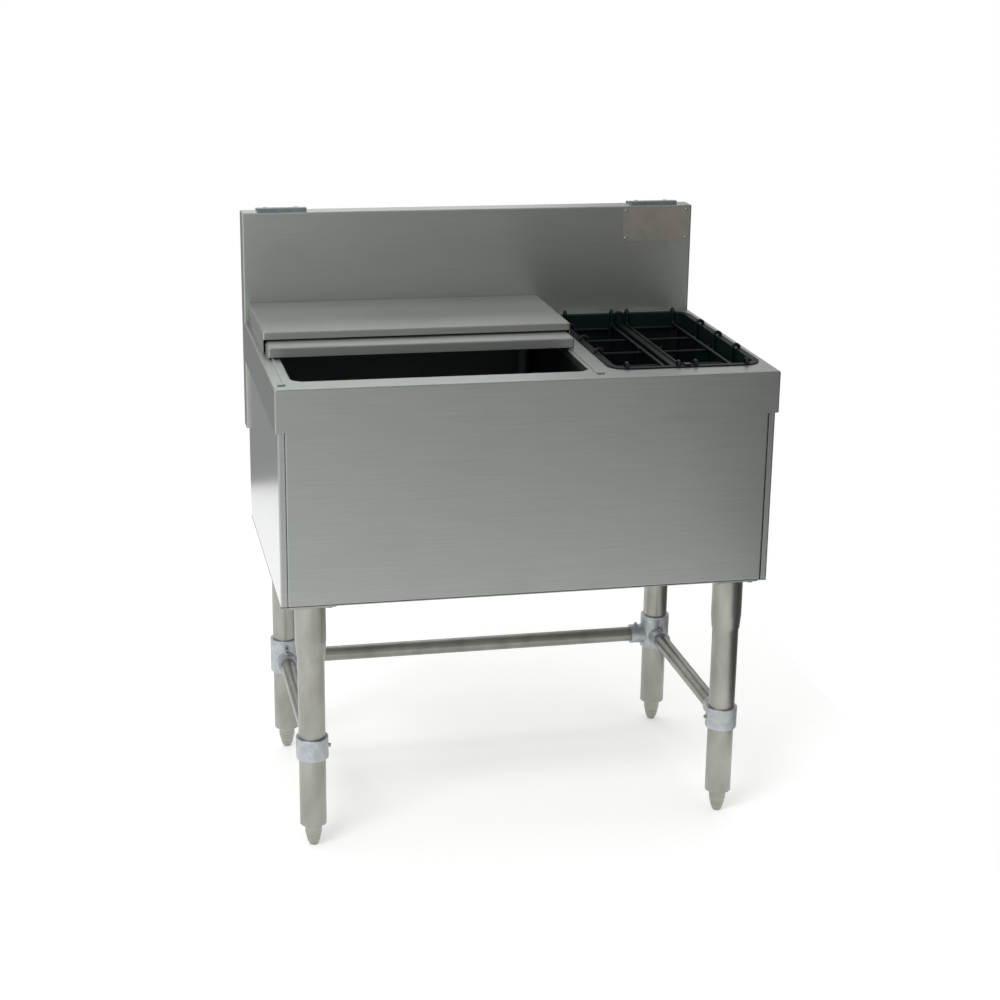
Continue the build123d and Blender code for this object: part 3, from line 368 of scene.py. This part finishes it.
def shown_rays(tree):
    """One for rays that the camera sees, straight or in metal or glass, and nought for the rest."""
    path = add_node(tree, "ShaderNodeLightPath").outputs
    inputs = {0: path["Is Glossy Ray"], 1: path["Is Transmission Ray"]}
    mirrored = add_node(tree, "ShaderNodeMath", inputs, operation="MAXIMUM").outputs["Value"]
    inputs = {0: path["Is Camera Ray"], 1: mirrored}
    return add_node(tree, "ShaderNodeMath", inputs, operation="MAXIMUM").outputs["Value"]


def pale_floor():
    """A floor of matt white paper, its mottle too faint to notice, which keeps a soft shadow."""
    shape = bmesh.new()
    bmesh.ops.create_grid(shape, x_segments=1, y_segments=1, size=1.0)
    (left, front), (right, rear) = FLOOR
    bmesh.ops.scale(shape, verts=shape.verts, vec=((right - left) / 2, (rear - front) / 2, 1.0))
    bmesh.ops.translate(shape, verts=shape.verts, vec=((left + right) / 2, (front + rear) / 2, 0.0))
    mesh = bpy.data.meshes.new("studio_floor")
    shape.to_mesh(mesh)
    shape.free()
    floor = bpy.data.objects.new("studio_floor", mesh)
    bpy.context.scene.collection.objects.link(floor)

    material, tree = new_material("matt_white_floor")
    fibres = mottle(tree, FLOOR_FIBRES)
    inputs = {"Factor": fibres, COLOUR_A: colour("#F6F6F5"), COLOUR_B: colour("#F9F9F8")}
    tone = add_node(tree, "ShaderNodeMix", inputs, data_type="RGBA").outputs[COLOUR_OUT]
    inputs = {0: shown_rays(tree), 1: FLOOR_GLOW}
    glow = add_node(tree, "ShaderNodeMath", inputs, operation="MULTIPLY").outputs["Value"]
    inputs = {"Base Color": tone, "Roughness": 0.9, "Emission Color": tone, "Emission Strength": glow}
    shader = add_node(tree, "ShaderNodeBsdfPrincipled", inputs)
    add_node(tree, "ShaderNodeOutputMaterial", {"Surface": shader.outputs["BSDF"]})
    mesh.materials.append(material)


def studio_world():
    """Even pale light from all round, which the camera sees as plain white and metal as a soft room."""
    world = bpy.data.worlds.new("studio")
    world.use_nodes = True
    tree = world.node_tree
    tree.nodes.clear()
    way = add_node(tree, "ShaderNodeTexCoord").outputs["Generated"]
    room = 1.0
    for direction, change in ROOM:
        reach = add_node(tree, "ShaderNodeVectorMath", {0: way, 1: direction}, operation="DOT_PRODUCT")
        inputs = {"Value": reach.outputs["Value"], **change}
        share = add_node(tree, "ShaderNodeMapRange", inputs, interpolation_type="SMOOTHSTEP")
        inputs = {0: room, 1: share.outputs["Result"]}
        room = add_node(tree, "ShaderNodeMath", inputs, operation="MULTIPLY").outputs["Value"]
    inputs = {"Factor": shown_rays(tree), VALUE_A: WORLD_STRENGTH, VALUE_B: room}
    mirrored = add_node(tree, "ShaderNodeMix", inputs).outputs[VALUE_OUT]
    camera = add_node(tree, "ShaderNodeLightPath").outputs["Is Camera Ray"]
    inputs = {"Factor": camera, VALUE_A: mirrored, VALUE_B: WHITE}
    strength = add_node(tree, "ShaderNodeMix", inputs).outputs[VALUE_OUT]
    light = add_node(tree, "ShaderNodeBackground", {"Color": colour("#FFFFFF"), "Strength": strength})
    add_node(tree, "ShaderNodeOutputWorld", {"Surface": light.outputs["Background"]})
    bpy.context.scene.world = world


def softbox(name, place, target, width, height, watts):
    """A rectangular soft lamp that looks at a point."""
    lamp = bpy.data.lights.new(name, "AREA")
    lamp.shape = "RECTANGLE"
    lamp.size, lamp.size_y = width, height
    lamp.energy = watts
    holder = bpy.data.objects.new(name, lamp)
    bpy.context.scene.collection.objects.link(holder)
    way = Vector(target) - Vector(place)
    holder.matrix_world = Matrix.Translation(place) @ way.to_track_quat("-Z", "Y").to_matrix().to_4x4()


# Camera, from a fit to the photograph

CAMERA_PLACE = (-0.648093, -2.974357, 1.4169)
CAMERA_YAW = math.radians(12.415)
CAMERA_PITCH = math.radians(17.101)
CAMERA_ROLL = math.radians(0.801)
CAMERA_LENS = 70.674
CAMERA_SENSOR = 36.0
CAMERA_CLIP = (0.1, 100.0)


def photo_camera():
    """The camera at the photograph's place and angle."""
    yaw, pitch, roll = CAMERA_YAW, CAMERA_PITCH, CAMERA_ROLL
    ahead = Vector((math.sin(yaw) * math.cos(pitch), math.cos(yaw) * math.cos(pitch), -math.sin(pitch)))
    level = Vector((math.cos(yaw), -math.sin(yaw), 0.0))
    upright = level.cross(ahead)
    right = level * math.cos(roll) + upright * math.sin(roll)
    up = upright * math.cos(roll) - level * math.sin(roll)
    data = bpy.data.cameras.new("photo_camera")
    data.lens, data.sensor_width = CAMERA_LENS, CAMERA_SENSOR
    data.clip_start, data.clip_end = CAMERA_CLIP
    camera = bpy.data.objects.new("photo_camera", data)
    bpy.context.scene.collection.objects.link(camera)
    turn = Matrix((right, up, -ahead)).transposed().to_4x4()
    camera.matrix_world = Matrix.Translation(CAMERA_PLACE) @ turn
    bpy.context.scene.camera = camera


bpy.context.scene.view_settings.view_transform = "Standard"
photo_camera()
studio_world()
pale_floor()
for box in SOFTBOXES:
    softbox(*box)
dress_nodes()
